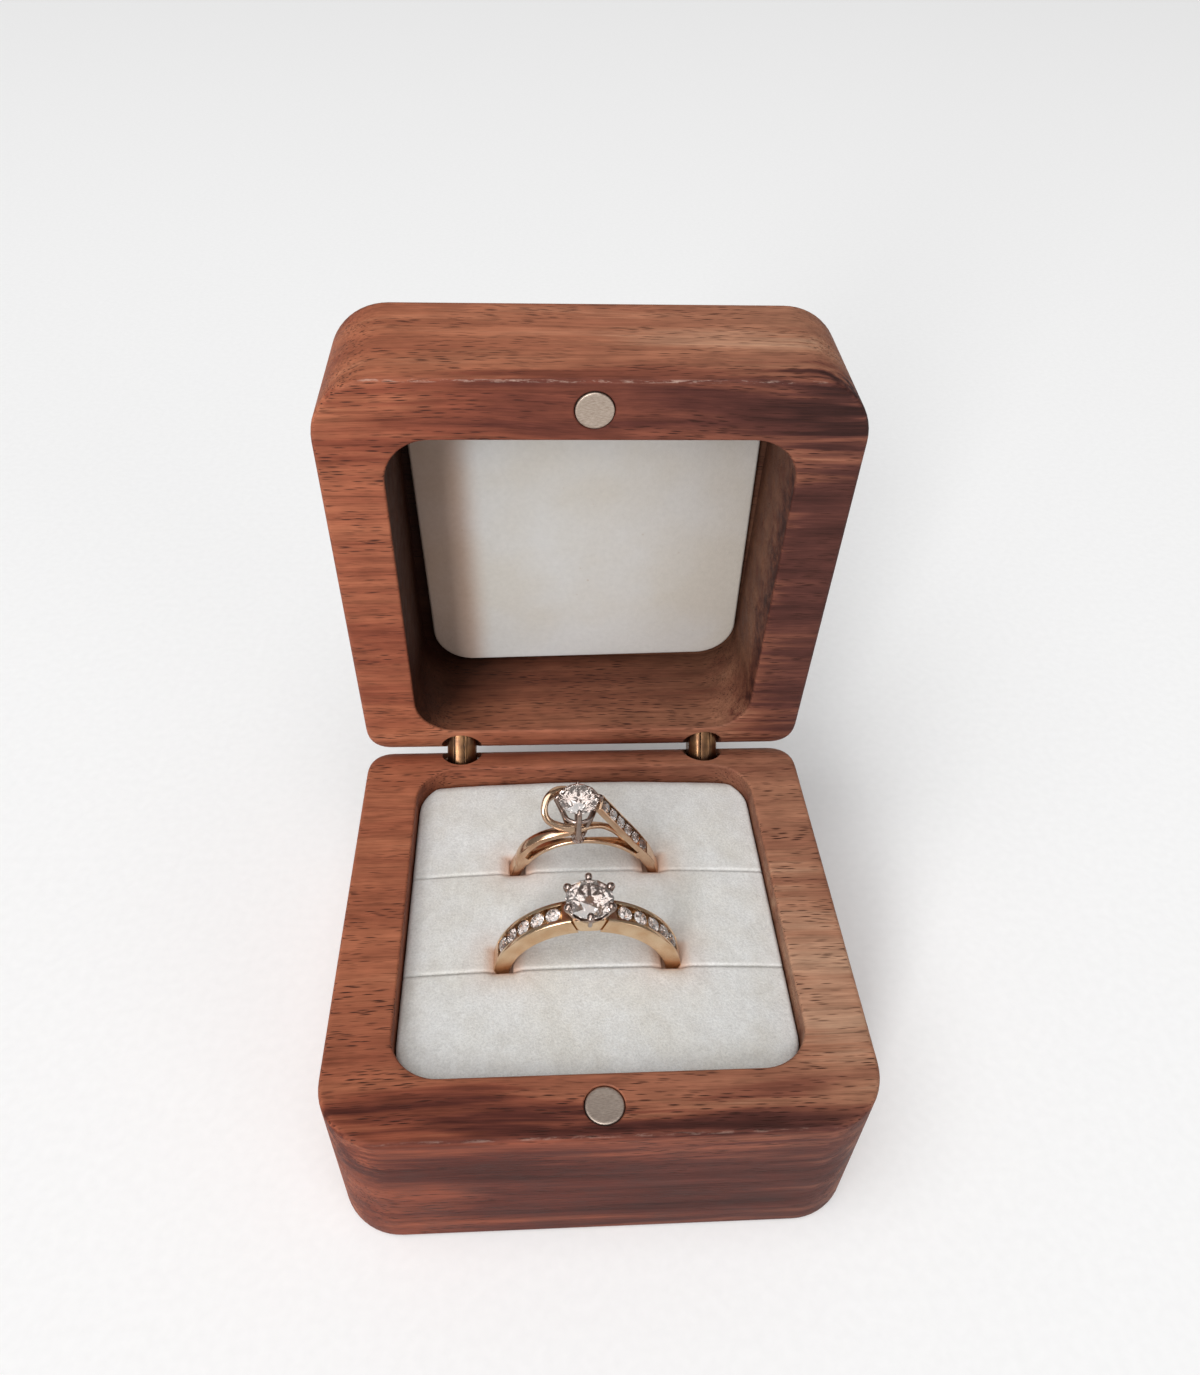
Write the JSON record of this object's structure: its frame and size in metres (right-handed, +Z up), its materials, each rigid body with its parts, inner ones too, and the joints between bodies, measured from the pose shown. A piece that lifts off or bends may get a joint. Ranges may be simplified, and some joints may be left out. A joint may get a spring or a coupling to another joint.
{
  "type": "ring display box",
  "caption": "Open square wooden ring box on barrel hinges, with a velvet roll cushion, a lined lid, rim magnets and displayed rings.",
  "frame": {"origin": "centre of the base's underside, on the surface it stands on", "axes": "+X to the right seen from the front, +Y from the front to the hinges, +Z up"},
  "size_m": [0.056, 0.0695, 0.0756],
  "materials": {
    "walnut": "oiled, open grain",
    "brass": "brushed, slightly aged",
    "nickel": "nickel plated, satin",
    "velvet": "short pile velvet",
    "suede": "napped suede cloth",
    "card": "matt",
    "rose_gold": "polished rose gold",
    "white_gold": "polished white gold",
    "diamond": "faceted and polished"
  },
  "bodies": {
    "base": {"base_box": "walnut", "base_magnet": "nickel", "cushion_board": "card", "front_roll": "velvet", "middle_roll": "velvet", "rear_roll": "velvet", "left_base_barrel": "brass", "left_base_pin": "brass", "right_base_barrel": "brass", "right_base_pin": "brass", "solitaire_band": "rose_gold", "solitaire_head": "white_gold", "solitaire_stone": "diamond", "solitaire_side_stones": "diamond", "twist_band": "rose_gold", "twist_scroll": "rose_gold", "twist_head": "white_gold", "twist_stone": "diamond", "twist_side_stones": "diamond"},
    "left_links": {"left_outer_leaf": "brass", "left_middle_leaf": "brass", "left_inner_leaf": "brass"},
    "right_links": {"right_outer_leaf": "brass", "right_middle_leaf": "brass", "right_inner_leaf": "brass"},
    "lid": {"lid_box": "walnut", "lid_magnet": "nickel", "liner_card": "card", "liner_suede": "suede", "left_lid_barrel": "brass", "left_lid_pin": "brass", "right_lid_barrel": "brass", "right_lid_pin": "brass"}
  },
  "joints": [
    {"name": "left_link_pivot", "type": "hinge", "parent": "base", "child": "left_links", "pos_m": [-0.016, 0.02391, 0.0194], "axis": [1, 0, 0], "range_deg": [0, 36.77]},
    {"name": "lid_pivot", "type": "hinge", "parent": "left_links", "child": "lid", "pos_m": [-0.016, 0.02642, 0.02277], "axis": [1, 0, 0], "range_deg": [0, 49.28]},
    {"name": "right_link_pivot", "type": "hinge", "parent": "base", "child": "right_links", "pos_m": [0.016, 0.02391, 0.0194], "axis": [1, 0, 0], "range_deg": [0, 36.77]}
  ],
  "couplings": [
    {"joint": "left_link_pivot", "follows": "lid_pivot", "ratio": 0.7452},
    {"joint": "right_link_pivot", "follows": "lid_pivot", "ratio": 0.7452}
  ]
}
